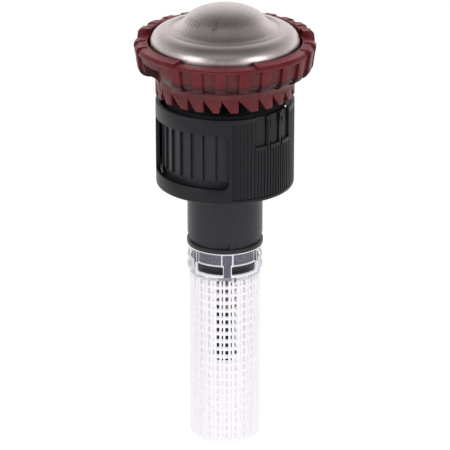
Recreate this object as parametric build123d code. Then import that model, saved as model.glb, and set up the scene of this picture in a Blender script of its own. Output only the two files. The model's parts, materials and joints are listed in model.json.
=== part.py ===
from build123d import *
from math import asin, cos, degrees, pi, radians, sin
import os

# Rotary nozzle for a pop up sprinkler's riser, in millimetres.
# Origin: centre of the riser thread's mouth, on the axis. +Z is up, the front is -Y.
# Azimuths are in degrees from the front, growing towards +X.

# Clearances
runningGap = 0.08        # radial gap of a turning or sliding fit
shaftGap = 0.05          # radial gap of the pieces that run on the shaft
looseGap = 0.35          # between pieces that only pass each other
seatGap = 0.05           # between faces that rest on each other on different bodies
freePlay = 0.1           # between pieces that slide or turn past each other
bite = 0.3               # how far a joined feature reaches into its body
over = 1.0               # how far a cutter passes the face that it cuts

# Neck and riser side
neckRadius = 6.26
neckWall = 1.16
neckDepth = 9.0          # below the thread's mouth
threadRadius = 7.9
gasketHeight = 1.5
gasketSeat = 9.3         # height of the gasket's lower face
gasketPlay = 0.03        # between the gasket and the two walls beside it

# Collar and base
collarRadius = 11.4
collarWall = 0.65
collarLipRise = 0.8
collarLipSlope = 0.7
collarFootRound = 0.45
collarLipWidth = 0.77
baseRoofThickness = 1.2
fluteCount = 32
fluteDepth = 0.35
windowBottom = 3.2
windowTop = 11.6
windowStart = -88.0
windowSweep = 91.0
windowRound = 0.9
pocketBottom = 9.3
pocketDepth = 0.3
pocketStarts = (25.4, 38.9, 52.4)
pocketSweep = 11.2
knurlStart = 6.0
knurlSweep = 84.0
knurlCount = 27
knurlDepth = 0.16
knurlWidth = 0.24
knurlMargin = 0.7

# Drive tube and throttle
driveTubeWall = 0.55
driveTubeGap = 0.15      # between the drive tube and the neck
driveTubeDepth = 6.0
armWidth = 3.0
armHeight = 1.2
armAzimuth = 50.0
radiusTravel = 100.0     # turn of the collar, degrees
pillarMargin = 5.0       # between an arm and the neck's pillars, degrees
splineCount = 4
splineWidth = 0.8
splineDepth = 0.5
lugWidth = 2.2
throttleTop = 0.5
throttleBodyHeight = 4.5
throttleBodyWall = 1.0
skirtHeight = 3.7
skirtInner = 2.8
skirtWall = 0.7
throttleTravel = 1.8

# Cover, post and arc valve
coverPlate = 0.8
coverGap = 0.2
hubWall = 1.1
hubTopWall = 0.55
hubBottom = 4.0
postWall = 1.05
postBottom = -3.2
spokeCount = 4
spokeWidth = 1.0
spokeHeight = 1.5
helixPitch = 2.4         # climb of the ledge in one turn
ledgeDrop = 3.8          # of the helical ledge's lowest point below the cover's top
ledgeThickness = 2.0     # at that point
waterGap = 0.7           # round the valve sleeve
sleeveWall = 0.55
sleeveWeb = 1.0
sleeveRise = 0.3         # of the web over the cover, with the arc closed
crownTeeth = 8
crownHeight = 0.5
crownSlotWidth = 1.1
restArc = 45.0           # open arc at rest, degrees

# Shaft, spring and brake
shaftRadius = 1.1
shoulderStep = 0.8       # of the shaft's shoulder and clip outside the shaft
shoulderHeight = 0.4
washerThickness = 0.3
retainerStep = 1.1       # of the nut's corners outside the shaft
retainerFoot = 1.4
retainerHeight = 9.0
retainerBottom = -32.0
retainerWall = 0.65      # of the nut's long sleeve
springWire = 0.4
springPlay = 0.45        # between the shaft and the spring
springTurns = 12
springFit = 0.03         # at the two ends of the spring
brakeLift = 3.4          # travel of the deflector up to the brake
brakeRunningGap = 0.1
padInner = 3.0
padRadius = 4.4
padThickness = 0.7
discRadius = 4.6
discThickness = 0.8
discSquare = 1.5         # across the flats of the shaft's end
clipThickness = 0.4
shaftProud = 0.2         # of the shaft's end above the clip

# Deflector and cap
flangeWidth = 2.25
flangeTaper = 0.55       # from the top edge in to the waist
flangeRise = 1.3         # of the high top over the brake plate
flangeEdge = 0.8         # height of the top edge's bevel
bowlPower = 1.7          # roundness of the bowl under the waist
flangeLowStep = 0.45
flangeHeight = 3.7       # from the waist up to the high top
cutoutTop = 20.9
cutoutInset = 0.6        # of the cut-out's floor outside the teeth
cutoutStart = -92.0
cutoutSweep = 42.0
ribCount = 24
ribSweep = 6.6
ribDepth = 0.5
teethGap = 0.5           # between the teeth and the collar's top
teethWall = 1.2
toothHeight = 2.1
toothSweep = 6.5
toothOffsets = (0.0, 14.0, 31.0, 45.0)
toothGroups = 6
toothStart = -3.0
toothNick = 0.35
vaneInner = 3.6
vaneSweep = 4.2
vaneLag = 14.0
vaneInset = 0.15         # of a vane's ends from the teeth's ends
deflectorHub = 3.3
hubHeight = 4.9
webRise = 2.3
bushingWall = 1.05
bushingFlange = 2.8
bushingFlangeHeight = 0.45
sealHeight = 0.9
brakeInset = 4.16        # of the brake plate inside the cap
brakePlateThickness = 1.0
brakeSeatWidth = 1.0
brakeWall = 0.85
capRadius = 12.16
capWall = 0.4
capGap = 0.44            # dark gap between the cap and the flange
capFit = 0.06
capSkirtDrop = 1.5       # of the cap's lower edge below the flange's top
capShoulderRise = 0.67
capShoulderWidth = 0.86
capShoulderDrop = 0.75
domeHeight = 3.8
domeRise = 2.1           # of the dome's foot over the flange's top
domePower = 2.3
beadShare = 0.744        # of the bead's radius in the cap's
domeShare = 0.6085       # of the dome's radius in the cap's
beadHeight = 0.14
beadWidth = 0.28

# Inlet plate and screen
grooveHeight = 1.1
grooveDepth = 0.41
lipHeight = 0.8
lipProud = 0.1
keyAzimuth = 8.0
keyWidth = 0.9
seatThickness = 1.3
orificeRadius = 3.0
spigotLength = 4.7
spigotWall = 0.8
spigotGap = 0.1
hookProud = 0.6
hookHeight = 1.0
screenRadius = 5.95
screenWall = 0.95
screenSeatWall = 0.75    # of the screen round the spigot
screenCollarProud = 0.42
screenEdge = 0.2
screenFootRound = 0.8
screenCollarHeight = 3.85
screenTaper = 2.75
screenLength = 35.4
windowCount = 6
screenWindowHeight = 1.5
screenWindowDrop = 2.2
screenWindowSweep = 41.0
screenBarAzimuth = 4.4
meshColumns = 24
meshRows = 13
meshRib = 0.75
meshFloor = 0.9
meshTopBand = 1.3

# Levels that follow from the sizes above
neckBore = neckRadius - neckWall
baseHeight = gasketSeat + gasketHeight + baseRoofThickness
armBottom = baseHeight + freePlay
armTop = armBottom + armHeight
coverBottom = armTop + coverGap
coverTop = coverBottom + coverPlate
collarInner = collarRadius - collarWall
collarHeight = coverTop - freePlay
collarTop = collarHeight + collarLipRise
collarLipBottom = armTop + seatGap
collarLipInner = collarInner - collarLipWidth
baseRadius = collarInner - looseGap
coverRadius = collarLipInner - runningGap
driveTubeOuter = neckBore - driveTubeGap
driveTubeInner = driveTubeOuter - driveTubeWall
hubRadius = driveTubeInner - freePlay
hubBore = hubRadius - hubWall
hubTopBore = hubRadius - hubTopWall
postRadius = shaftRadius + shaftGap + postWall
shoulderRadius = shaftRadius + shoulderStep
retainerRadius = shaftRadius + retainerStep
springRadius = shaftRadius + springPlay + springWire / 2
crownInner = shoulderRadius + 2 * freePlay
ledgeStart = coverTop - ledgeDrop
ledgeBottom = ledgeStart - ledgeThickness
sleeveRadius = hubTopBore - waterGap
sleeveBore = sleeveRadius - sleeveWall
sleeveTop = coverTop + sleeveRise
sleeveLift = helixPitch * restArc / 360
crownTop = sleeveTop + sleeveLift + crownHeight
washerBottom = sleeveTop + sleeveLift + seatGap
shoulderBottom = washerBottom + washerThickness
shoulderTop = shoulderBottom + shoulderHeight
bushingBottom = shoulderTop + freePlay
bushingOuter = shaftRadius + shaftGap + bushingWall
hubBoreDeflector = bushingOuter + shaftGap
deflectorHubBottom = crownTop + crownHeight
deflectorHubTop = deflectorHubBottom + hubHeight
sealTop = deflectorHubTop + sealHeight
brakePlateBottom = sealTop + freePlay
brakePlateTop = brakePlateBottom + brakePlateThickness
padBottom = brakePlateTop + brakeLift + brakeRunningGap
discBottom = padBottom + padThickness
discTop = discBottom + discThickness
clipBottom = discTop
shaftTop = clipBottom + clipThickness + shaftProud
teethBottom = collarTop + teethGap
teethTop = teethBottom + toothHeight
webTop = deflectorHubBottom + webRise
flangeTop = brakePlateTop + flangeRise
flangeInner = capRadius + capGap
deflectorRadius = flangeInner + flangeWidth
flangeWaist = deflectorRadius - flangeTaper
brakePlateRadius = capRadius - brakeInset
capBottom = flangeTop - capSkirtDrop
capShoulder = flangeTop + capShoulderRise
beadRadius = beadShare * capRadius
domeRadius = domeShare * capRadius
domeFoot = flangeTop + domeRise
capTop = domeFoot + domeHeight
capSeatOuter = capRadius - capWall - capFit
capSeatTop = capShoulder - capShoulderDrop - capWall - seatGap
grooveBottom = capBottom - looseGap
throttleBore = postRadius + freePlay
throttleBottom = throttleTop - throttleBodyHeight
lipTop = -neckDepth - grooveHeight
lipBottom = lipTop - lipHeight
seatTop = lipBottom + seatThickness
spigotRadius = screenRadius - screenSeatWall - spigotGap
screenTop = lipBottom
screenBottom = screenTop - screenLength


def tube(inner, outer, bottom, top):
    body = Cylinder(outer, top - bottom)
    if inner > 0:
        body -= Cylinder(inner, top - bottom)
    return Pos(0, 0, (bottom + top) / 2) * body


def turned(points):
    # Solid of revolution of a closed outline of (radius, height) points.
    outline = make_face(Plane.XZ * Polyline(*points, close=True))
    return revolve(outline, Axis.Z, 360)


def sector(inner, outer, bottom, top, start, sweep):
    place = Pos((inner + outer) / 2, (bottom + top) / 2)
    section = Plane.XZ * place * Rectangle(outer - inner, top - bottom)
    return Rot(0, 0, start - 90) * revolve(section, Axis.Z, sweep)


def radialBox(inner, outer, width, bottom, top, azimuth):
    box = Box(outer - inner, width, top - bottom)
    return Rot(0, 0, azimuth - 90) * Pos((inner + outer) / 2, 0, (bottom + top) / 2) * box


def spot(radius, azimuth):
    return (radius * sin(radians(azimuth)), -radius * cos(radians(azimuth)))


def helicalRing(inner, outer, start, down, up):
    # Ring whose one face climbs by one pitch in a turn; it reaches `down` below or `up` above it.
    # Two half turns, joined, so that its two ends meet cleanly.
    margin = 0.5
    if down > 0:
        clean = tube(inner, outer, start - down + helixPitch, start + 2 * helixPitch)
    else:
        clean = tube(inner, outer, start - helixPitch, start + up)
    halves = []
    for index in range(2):
        foot = (0, 0, start)
        low = Edge.make_helix(helixPitch, helixPitch / 2, inner - margin, center=foot)
        high = Edge.make_helix(helixPitch, helixPitch / 2, outer + margin, center=foot)
        block = Solid.extrude(Face.make_surface_from_curves(low, high), Vector(0, 0, up - down))
        climb = Pos(0, 0, index * helixPitch / 2) * Rot(0, 0, index * 180)
        halves.append(clean & (climb * block))
    return halves[0] + halves[1]


def crownSlots(radius, bottom, top):
    # Slots between the teeth of the crowns that mesh when the cap is pressed down.
    slots = []
    for index in range(crownTeeth // 2):
        azimuth = index * 360 / crownTeeth
        slots.append(radialBox(-radius - 1, radius + 1, crownSlotWidth, bottom, top, azimuth))
    return slots


def nozzleBase():
    step = 360 / fluteCount
    outline = []
    for index in range(fluteCount):
        outline.append(spot(baseRadius, index * step))
        outline.append(spot(baseRadius - fluteDepth, index * step + 0.12 * step))
    body = extrude(make_face(Polyline(*outline, close=True)), baseHeight)
    body -= tube(0, threadRadius, 0, gasketSeat + gasketHeight)
    body -= tube(0, neckRadius, gasketSeat, baseHeight)
    mouth = turned([(threadRadius, 0), (threadRadius + 0.5, 0), (threadRadius, 0.5)])
    return body - mouth


def riserGasket():
    inner = neckRadius + gasketPlay
    outer = threadRadius - gasketPlay
    return tube(inner, outer, gasketSeat, gasketSeat + gasketHeight)


def inletTube():
    body = tube(neckBore, neckRadius, -neckDepth, coverBottom)
    armReach = degrees(asin(armWidth / 2 / neckBore)) + pillarMargin
    for turn in (0, 180):
        start = armAzimuth + turn - armReach
        sweep = radiusTravel + 2 * armReach
        body -= sector(neckBore - 1, neckRadius + 1, baseHeight, coverBottom + 1, start, sweep)
    return body


def inletPlate():
    neck = neckRadius - grooveDepth
    pilot = neckBore - 0.05
    body = turned([
        (orificeRadius, lipBottom), (spigotRadius - spigotWall, lipBottom),
        (spigotRadius - spigotWall, lipBottom - spigotLength),
        (spigotRadius, lipBottom - spigotLength), (spigotRadius, lipBottom),
        (neckRadius + lipProud, lipBottom), (neckRadius + lipProud, lipTop),
        (neck, lipTop), (neck, -neckDepth), (pilot, -neckDepth),
        (pilot, -neckDepth + 1), (pilot - 0.5, -neckDepth + 1),
        (pilot - 0.5, seatTop), (orificeRadius, seatTop)])
    body += radialBox(neck - 0.4, neckRadius - 0.05, keyWidth, lipTop, -neckDepth, keyAzimuth)
    hookTop = screenTop - screenWindowDrop - (screenWindowHeight - hookHeight) / 2
    hookSweep = screenWindowSweep - 6
    for index in range(windowCount):
        middle = screenBarAzimuth + (index + 0.5) * 360 / windowCount
        start = middle - hookSweep / 2
        reach = spigotRadius + hookProud
        body += sector(spigotRadius - 0.4, reach, hookTop - hookHeight, hookTop, start, hookSweep)
    return body


def filterScreen():
    bore = spigotRadius + spigotGap
    meshBore = screenRadius - screenWall
    collar = screenRadius + screenCollarProud
    collarBottom = screenTop - screenCollarHeight
    neckBottom = collarBottom - screenTaper
    body = turned([
        (bore, screenTop), (collar - screenEdge, screenTop), (collar, screenTop - screenEdge),
        (collar, collarBottom), (screenRadius, neckBottom),
        (screenRadius, screenBottom + screenFootRound), (screenRadius - screenFootRound, screenBottom),
        (0, screenBottom), (0, screenBottom + meshFloor),
        (meshBore, screenBottom + meshFloor), (meshBore, neckBottom), (bore, collarBottom)])
    top = screenTop - screenWindowDrop
    for index in range(windowCount):
        middle = screenBarAzimuth + (index + 0.5) * 360 / windowCount
        start = middle - screenWindowSweep / 2
        body -= sector(bore - 1, collar + 1, top - screenWindowHeight, top, start, screenWindowSweep)
    highest = neckBottom - meshTopBand
    lowest = screenBottom + meshFloor + meshRib
    pitch = (highest - lowest) / meshRows
    width = 2 * pi * screenRadius / meshColumns - meshRib
    holes = []
    for row in range(meshRows):
        base = lowest + row * pitch
        for column in range(meshColumns // 2):
            azimuth = (column + 0.5) * 360 / meshColumns
            reach = screenRadius + 1
            holes.append(radialBox(-reach, reach, width, base, base + pitch - meshRib, azimuth))
    return body - holes


def radiusRing():
    body = turned([
        (collarInner, 0), (collarRadius - collarFootRound, 0),
        (collarRadius, collarFootRound), (collarRadius, collarHeight),
        (collarRadius - collarLipSlope, collarTop), (collarLipInner, collarTop),
        (collarLipInner, collarLipBottom), (collarInner, collarLipBottom)])
    inside = collarInner - 0.2
    outside = collarRadius + 1
    window = sector(inside, outside, windowBottom, windowTop, windowStart, windowSweep)
    radial = [e for e in window.edges().filter_by(GeomType.LINE) if abs(e.bounding_box().size.Z) < 0.01]
    window = fillet(radial, windowRound)
    cuts = [window, Rot(0, 0, 180) * window]
    for turn in (0, 180):
        for start in pocketStarts:
            floor = collarRadius - pocketDepth
            cuts.append(sector(floor, outside, pocketBottom, collarTop + 1, start + turn, pocketSweep))
    pitch = knurlSweep / knurlCount
    for index in range(knurlCount + 1):
        azimuth = knurlStart + index * pitch
        inPocket = any(start - 1.2 < azimuth < start + pocketSweep + 1.2 for start in pocketStarts)
        top = pocketBottom - knurlMargin if inPocket else collarHeight - knurlMargin
        for turn in (0, 180):
            cuts.append(radialBox(collarRadius - knurlDepth, outside, knurlWidth,
                                  knurlMargin, top, azimuth + turn))
    return body - cuts


def driveTube():
    body = tube(driveTubeInner, driveTubeOuter, -driveTubeDepth, armTop)
    bore = tube(0, driveTubeInner + 0.1, armBottom - 1, armTop + 1)
    for turn in (0, 180):
        arm = radialBox(0, collarInner + 1, armWidth, armBottom, armTop, armAzimuth + turn)
        arm &= tube(0, collarInner, armBottom, armTop)
        body += arm - bore
    for index in range(splineCount):
        inner = driveTubeInner - splineDepth
        azimuth = index * 360 / splineCount + 45
        top = hubBottom - looseGap
        body += radialBox(inner, driveTubeInner + 0.2, splineWidth, -driveTubeDepth, top, azimuth)
    return body


def throttleNut():
    bodyRadius = throttleBore + throttleBodyWall
    skirtBottom = throttleBottom - skirtHeight
    body = turned([
        (throttleBore, throttleTop), (throttleBore, throttleBottom),
        (skirtInner, throttleBottom - 0.5), (skirtInner, skirtBottom),
        (skirtInner + skirtWall, skirtBottom), (skirtInner + skirtWall, throttleBottom - 0.5),
        (bodyRadius, throttleBottom), (bodyRadius, throttleTop)])
    for index in range(splineCount):
        azimuth = index * 360 / splineCount + 45
        lug = radialBox(bodyRadius - 0.3, driveTubeInner, lugWidth, throttleBottom, throttleTop - 0.5, azimuth)
        lug &= tube(0, driveTubeInner - runningGap, throttleBottom, throttleTop)
        slotFloor = driveTubeInner - splineDepth - runningGap
        slot = radialBox(slotFloor, driveTubeInner + 1, splineWidth + 2 * runningGap,
                         throttleBottom - 1, throttleTop + 1, azimuth)
        body += lug - slot
    return body


def nozzleCover():
    body = turned([
        (hubBore, hubBottom), (hubRadius, hubBottom), (hubRadius, coverBottom),
        (coverRadius, coverBottom), (coverRadius, coverTop), (hubTopBore, coverTop),
        (hubTopBore, ledgeBottom), (hubBore, ledgeBottom)])
    post = tube(shaftRadius + shaftGap, postRadius, postBottom, hubBottom + spokeHeight)
    for index in range(spokeCount):
        azimuth = index * 360 / spokeCount
        top = hubBottom + spokeHeight
        post += radialBox(postRadius - 0.3, hubBore + 0.3, spokeWidth, hubBottom, top, azimuth)
    down = ledgeStart + helixPitch - ledgeBottom
    ledge = helicalRing(postRadius, hubTopBore + bite / 3, ledgeStart, down, 0)
    return body + post + ledge


def valveSleeve():
    # Made with the arc closed, then turned and lifted to the open arc at rest.
    webBottom = sleeveTop - sleeveWeb
    band = helicalRing(sleeveBore, sleeveRadius, ledgeStart + seatGap, 0, webBottom - ledgeStart)
    bore = shaftRadius + shaftGap
    head = turned([
        (bore, webBottom - 0.2), (sleeveRadius, webBottom - 0.2),
        (sleeveRadius, sleeveTop + crownHeight), (crownInner, sleeveTop + crownHeight),
        (crownInner, sleeveTop), (bore, sleeveTop)])
    head -= crownSlots(sleeveRadius, sleeveTop, sleeveTop + crownHeight + 1)
    return Pos(0, 0, sleeveLift) * Rot(0, 0, restArc) * (head + band)


def sleeveWasher():
    return tube(shaftRadius, shoulderRadius, washerBottom, shoulderBottom)


def shaft():
    body = tube(0, shaftRadius, retainerBottom, discBottom)
    body += tube(0, shoulderRadius, shoulderBottom, shoulderTop)
    square = Box(discSquare, discSquare, shaftTop - discBottom)
    return body + Pos(0, 0, (discBottom + shaftTop) / 2) * square


def springWasher():
    return tube(shaftRadius + shaftGap, retainerRadius, postBottom - washerThickness, postBottom)


def retainingNut():
    # Hexagonal foot with a long sleeve that carries the spring.
    foot = Pos(0, 0, retainerBottom) * extrude(RegularPolygon(retainerRadius, 6), retainerFoot)
    foot -= tube(0, shaftRadius, retainerBottom - over, retainerBottom + retainerHeight)
    sleeveBottom = retainerBottom + retainerFoot
    return foot + tube(shaftRadius, shaftRadius + retainerWall, sleeveBottom, retainerBottom + retainerHeight)


def spring():
    bottom = retainerBottom + retainerHeight + springWire / 2 + springFit
    top = postBottom - washerThickness - springWire / 2 - springFit
    path = Edge.make_helix((top - bottom) / springTurns, top - bottom, springRadius, center=(0, 0, bottom))
    wire = Plane(path @ 0, z_dir=path % 0) * Circle(springWire / 2)
    return sweep(wire, path)


def bushing():
    bore = shaftRadius + shaftGap
    flangeBottom = brakePlateTop + seatGap
    flangeTopLevel = flangeBottom + bushingFlangeHeight
    return turned([
        (bore, bushingBottom), (bushingOuter, bushingBottom), (bushingOuter, flangeBottom),
        (bushingFlange, flangeBottom), (bushingFlange, flangeTopLevel), (bore, flangeTopLevel)])


def deflectorSeal():
    return turned([
        (hubBoreDeflector, deflectorHubTop), (deflectorHub, deflectorHubTop),
        (deflectorHub, sealTop), (hubBoreDeflector + 0.3, sealTop),
        (hubBoreDeflector, sealTop - 0.4)])


def brakePlate():
    return tube(hubBoreDeflector, brakePlateRadius, brakePlateBottom, brakePlateTop)


def brakePad():
    return tube(padInner, padRadius, padBottom, discBottom)


def brakeDisc():
    body = tube(0, discRadius, discBottom, discTop)
    return body - Pos(0, 0, (discBottom + discTop) / 2) * Box(discSquare, discSquare, 2)


def shaftClip():
    body = tube(0, shoulderRadius, clipBottom, clipBottom + clipThickness)
    return body - Pos(0, 0, clipBottom) * Box(discSquare, discSquare, 2)


def deflectorOutline(depth):
    # Lower outside of the deflector, from the teeth up to the top edge, `depth` inside the ribs.
    stations = 6
    foot = teethTop + 0.1 + 0.5 * depth
    waist = flangeTop - flangeHeight + 0.6 * depth
    reach = flangeWaist - depth - collarRadius
    points = [(collarRadius, foot)]
    for index in range(1, stations + 1):
        turn = radians(90) * index / stations
        out = reach * sin(turn) ** (2 / bowlPower)
        points.append((collarRadius + out, foot + (waist - foot) * (1 - cos(turn) ** (2 / bowlPower))))
    points.append((deflectorRadius - depth, flangeTop - flangeEdge))
    return points


def deflectorBody(depth):
    seatOuter = brakePlateRadius + shaftGap
    seatInner = brakePlateRadius - brakeSeatWidth
    wallOuter = seatOuter + brakeWall
    capSeatInner = capSeatOuter - 0.8
    return turned([
        (hubBoreDeflector, deflectorHubBottom), (deflectorHub, deflectorHubBottom),
        (deflectorHub, deflectorHubBottom + 0.3), (collarRadius - teethWall, teethTop - 0.4),
        (collarRadius - teethWall, teethTop), (collarRadius, teethTop),
        *deflectorOutline(depth),
        (deflectorRadius - 0.25 - depth, flangeTop - 0.3), (flangeInner, flangeTop),
        (flangeInner, grooveBottom), (capSeatOuter, grooveBottom),
        (capSeatOuter, capSeatTop), (capSeatInner, capSeatTop),
        (capSeatInner, webTop + 0.8), (wallOuter, webTop + 0.8),
        (wallOuter, brakePlateTop + 0.4), (seatOuter, brakePlateTop + 0.4),
        (seatOuter, brakePlateBottom), (seatInner, brakePlateBottom),
        (seatInner, webTop), (deflectorHub, webTop),
        (deflectorHub, deflectorHubTop), (hubBoreDeflector, deflectorHubTop)])


def vane(azimuth):
    # Thin curved wall under the deflector that guides one stream.
    stations = 5
    outer = collarRadius - teethWall / 2
    left = []
    right = []
    for index in range(stations):
        radius = vaneInner + (outer - vaneInner) * index / (stations - 1)
        middle = azimuth - toothSweep / 2 - vaneLag * (1 - radius / outer) ** 1.5
        left.append(spot(radius, middle - vaneSweep / 2))
        right.append(spot(radius, middle + vaneSweep / 2))
    outline = make_face(Polyline(*left, *reversed(right), close=True))
    return Pos(0, 0, teethBottom + vaneInset) * extrude(outline, toothHeight - 2 * vaneInset)


def tooth(azimuth, pitch, nicked):
    # One tooth of the lower rim: upright on its right, slanted on its left.
    scale = radians(1) * collarRadius
    foot = -toothSweep * scale
    reach = -(pitch - 0.4) * scale
    points = [(0, toothHeight + 0.3), (reach, toothHeight + 0.3), (reach, toothHeight - 0.1), (foot, 0)]
    if nicked:
        points += [(-toothNick, 0), (-toothNick, toothHeight / 2), (0, toothHeight / 2)]
    else:
        points.append((0, 0))
    face = Plane.XZ * make_face(Polyline(*points, close=True))
    block = Pos(0, -collarRadius + 2.2 * teethWall, teethBottom) * extrude(face, 4 * teethWall)
    return Rot(0, 0, azimuth) * block


def deflector():
    slotTop = deflectorHubBottom + crownHeight
    core = deflectorBody(ribDepth) - crownSlots(deflectorHub, deflectorHubBottom - 1, slotTop)
    full = deflectorBody(0)
    step = 360 / ribCount
    wedges = []
    for index in range(ribCount):
        wedges.append(sector(collarRadius - 0.5, deflectorRadius + 1, teethTop, flangeTop + 1,
                             index * step + 0.4 - ribSweep, ribSweep))
    body = core + (full & Compound(wedges))
    lowTop = flangeTop - flangeLowStep
    for start, sweep in ((-34.0, 55.0), (-165.0, 60.0), (110.0, 50.0)):
        body -= sector(flangeInner - 0.1, deflectorRadius + 1, lowTop, flangeTop + 1, start, sweep)
    body -= sector(collarRadius + cutoutInset, deflectorRadius + 1, teethTop - 1, cutoutTop, cutoutStart, cutoutSweep)
    teeth = []
    vanes = []
    group = 360 / toothGroups
    for index in range(toothGroups):
        for number, offset in enumerate(toothOffsets):
            before = toothOffsets[number - 1] - (group if number == 0 else 0)
            azimuth = toothStart + index * group + offset
            teeth.append(tooth(azimuth, offset - before, number == 0))
            vanes.append(vane(azimuth))
    rim = tube(collarRadius - teethWall, collarRadius, teethBottom, teethTop + 0.2)
    body += rim & Compound(teeth)
    return body + vanes


def cap():
    def dome(shrink):
        count = 9
        power = 2 / domePower
        points = []
        for index in range(count):
            turn = radians(80) * index / (count - 1)
            radius = (domeRadius - shrink) * sin(turn) ** power
            height = domeFoot - shrink + (capTop - domeFoot) * cos(turn) ** power
            points.append((radius, height))
        return points

    def skirt(shrink):
        side = capRadius - shrink
        shoulder = capShoulder - shrink
        return [(beadRadius - beadWidth, domeFoot - shrink - 0.05),
                (side - capShoulderWidth, shoulder), (side, shoulder - capShoulderDrop),
                (side, capBottom)]

    outside = dome(0)
    inside = dome(capWall)
    outerSkirt = skirt(0)
    innerSkirt = skirt(capWall)
    bead = (beadRadius, domeFoot + beadHeight)
    beadEnd = (beadRadius + beadWidth, domeFoot - 0.3)
    outline = Spline(*outside, tangents=[(1, 0), (0.2, -1)])
    outline += Polyline(outside[-1], (domeRadius + 0.35, domeFoot - 0.05), outerSkirt[0], bead, beadEnd,
                        *outerSkirt[1:], innerSkirt[-1], innerSkirt[-2], innerSkirt[-3],
                        innerSkirt[0], inside[-1])
    outline += Spline(*inside, tangents=[(1, 0), (0.2, -1)])
    outline += Line(inside[0], outside[0])
    return revolve(Plane.XZ * make_face(outline), Axis.Z, 360)


nodes = {
    "cap": cap,
    "deflector": deflector,
    "brake_plate": brakePlate,
    "brake_pad": brakePad,
    "brake_disc": brakeDisc,
    "shaft_clip": shaftClip,
    "bushing": bushing,
    "deflector_seal": deflectorSeal,
    "shaft": shaft,
    "valve_sleeve": valveSleeve,
    "sleeve_washer": sleeveWasher,
    "nozzle_cover": nozzleCover,
    "nozzle_base": nozzleBase,
    "radius_ring": radiusRing,
    "drive_tube": driveTube,
    "throttle_nut": throttleNut,
    "spring": spring,
    "spring_washer": springWasher,
    "retaining_nut": retainingNut,
    "inlet_tube": inletTube,
    "inlet_plate": inletPlate,
    "riser_gasket": riserGasket,
    "filter_screen": filterScreen,
}

os.makedirs("parts", exist_ok=True)
for name, make in nodes.items():
    shape = make()
    solids = shape.solids()
    print(name, len(solids), round(shape.volume, 2))
    export_step(shape, f"parts/{name}.step")
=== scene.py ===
import json
from itertools import groupby
from math import atan2, cos, degrees, pi, radians, sin

import bmesh
import bpy
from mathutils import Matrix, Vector


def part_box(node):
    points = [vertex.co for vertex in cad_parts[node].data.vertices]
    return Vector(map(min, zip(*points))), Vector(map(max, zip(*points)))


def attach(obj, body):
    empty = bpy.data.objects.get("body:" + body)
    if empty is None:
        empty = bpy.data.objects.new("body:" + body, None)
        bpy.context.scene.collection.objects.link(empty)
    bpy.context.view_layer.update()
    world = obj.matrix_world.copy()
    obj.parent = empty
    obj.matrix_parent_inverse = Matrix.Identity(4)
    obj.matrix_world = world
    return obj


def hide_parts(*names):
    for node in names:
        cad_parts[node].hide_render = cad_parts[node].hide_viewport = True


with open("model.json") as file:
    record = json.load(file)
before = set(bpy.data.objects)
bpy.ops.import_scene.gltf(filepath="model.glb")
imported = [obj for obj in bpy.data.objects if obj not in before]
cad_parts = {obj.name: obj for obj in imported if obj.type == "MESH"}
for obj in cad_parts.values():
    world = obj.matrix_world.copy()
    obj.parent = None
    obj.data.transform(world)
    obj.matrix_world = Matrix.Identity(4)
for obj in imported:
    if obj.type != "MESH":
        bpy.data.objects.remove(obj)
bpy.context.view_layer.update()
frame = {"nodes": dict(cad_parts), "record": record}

mm = 0.001
# Outlines are in millimetres as (radius, height). Azimuths are in degrees from the front,
# growing towards +X.


def widest(node):
    low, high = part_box(node)
    return max(high.x, high.y) / mm


def lowest(node):
    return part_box(node)[0].z / mm


def highest(node):
    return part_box(node)[1].z / mm


def spot(radius, azimuth, height):
    turn = radians(azimuth)
    return Vector((radius * sin(turn), -radius * cos(turn), height))


# ---- node graphs

class Wire:
    # One output of a node, so that maths on fields and shader values reads as plain expressions.
    def __init__(self, graph, socket):
        self.graph = graph
        self.socket = socket

    def other(self, name):
        return Wire(self.graph, self.socket.node.outputs[name])

    def maths(self, operation, *values):
        sockets = {place: value for place, value in enumerate(values)}
        return self.graph.add("ShaderNodeMath", {"operation": operation}, sockets)

    def __add__(self, value):
        return self.maths("ADD", self, value)

    def __radd__(self, value):
        return self.maths("ADD", value, self)

    def __sub__(self, value):
        return self.maths("SUBTRACT", self, value)

    def __rsub__(self, value):
        return self.maths("SUBTRACT", value, self)

    def __mul__(self, value):
        return self.maths("MULTIPLY", self, value)

    def __rmul__(self, value):
        return self.maths("MULTIPLY", value, self)

    def __truediv__(self, value):
        return self.maths("DIVIDE", self, value)

    def power(self, value):
        return self.maths("POWER", self, value)

    def above(self, edge, soft):
        # 0 below the edge, 1 above it, over a soft step
        return self.graph.add("ShaderNodeMapRange", {"interpolation_type": "SMOOTHSTEP"},
                              {"Value": self, "From Min": edge - soft, "From Max": edge + soft})


class Graph:
    def __init__(self, tree):
        self.tree = tree

    def add(self, kind, settings=None, sockets=None, out=0):
        node = self.tree.nodes.new(kind)
        for name, value in (settings or {}).items():
            setattr(node, name, value)
        for name, value in (sockets or {}).items():
            for item in value if isinstance(value, list) else [value]:
                if isinstance(item, Wire):
                    self.tree.links.new(item.socket, node.inputs[name])
                else:
                    node.inputs[name].default_value = item
        return Wire(self, node.outputs[out]) if len(node.outputs) else None

    def mixed(self, factor, first, second):
        return self.add("ShaderNodeMix", {"data_type": "RGBA"}, {0: factor, 6: first, 7: second}, 2)

    def noise(self, vector, scale, detail=3.0, roughness=0.55):
        return self.add("ShaderNodeTexNoise", None, {"Vector": vector, "Scale": scale,
                                                     "Detail": detail, "Roughness": roughness})

    def bumped(self, height, strength, distance, under=None):
        sockets = {"Height": height, "Strength": strength, "Distance": distance}
        if under:
            sockets["Normal"] = under
        return self.add("ShaderNodeBump", None, sockets)


def band(value, low, high, soft):
    # 1 between the two limits
    return value.above(low, soft) * (1.0 - value.above(high, soft))


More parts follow.
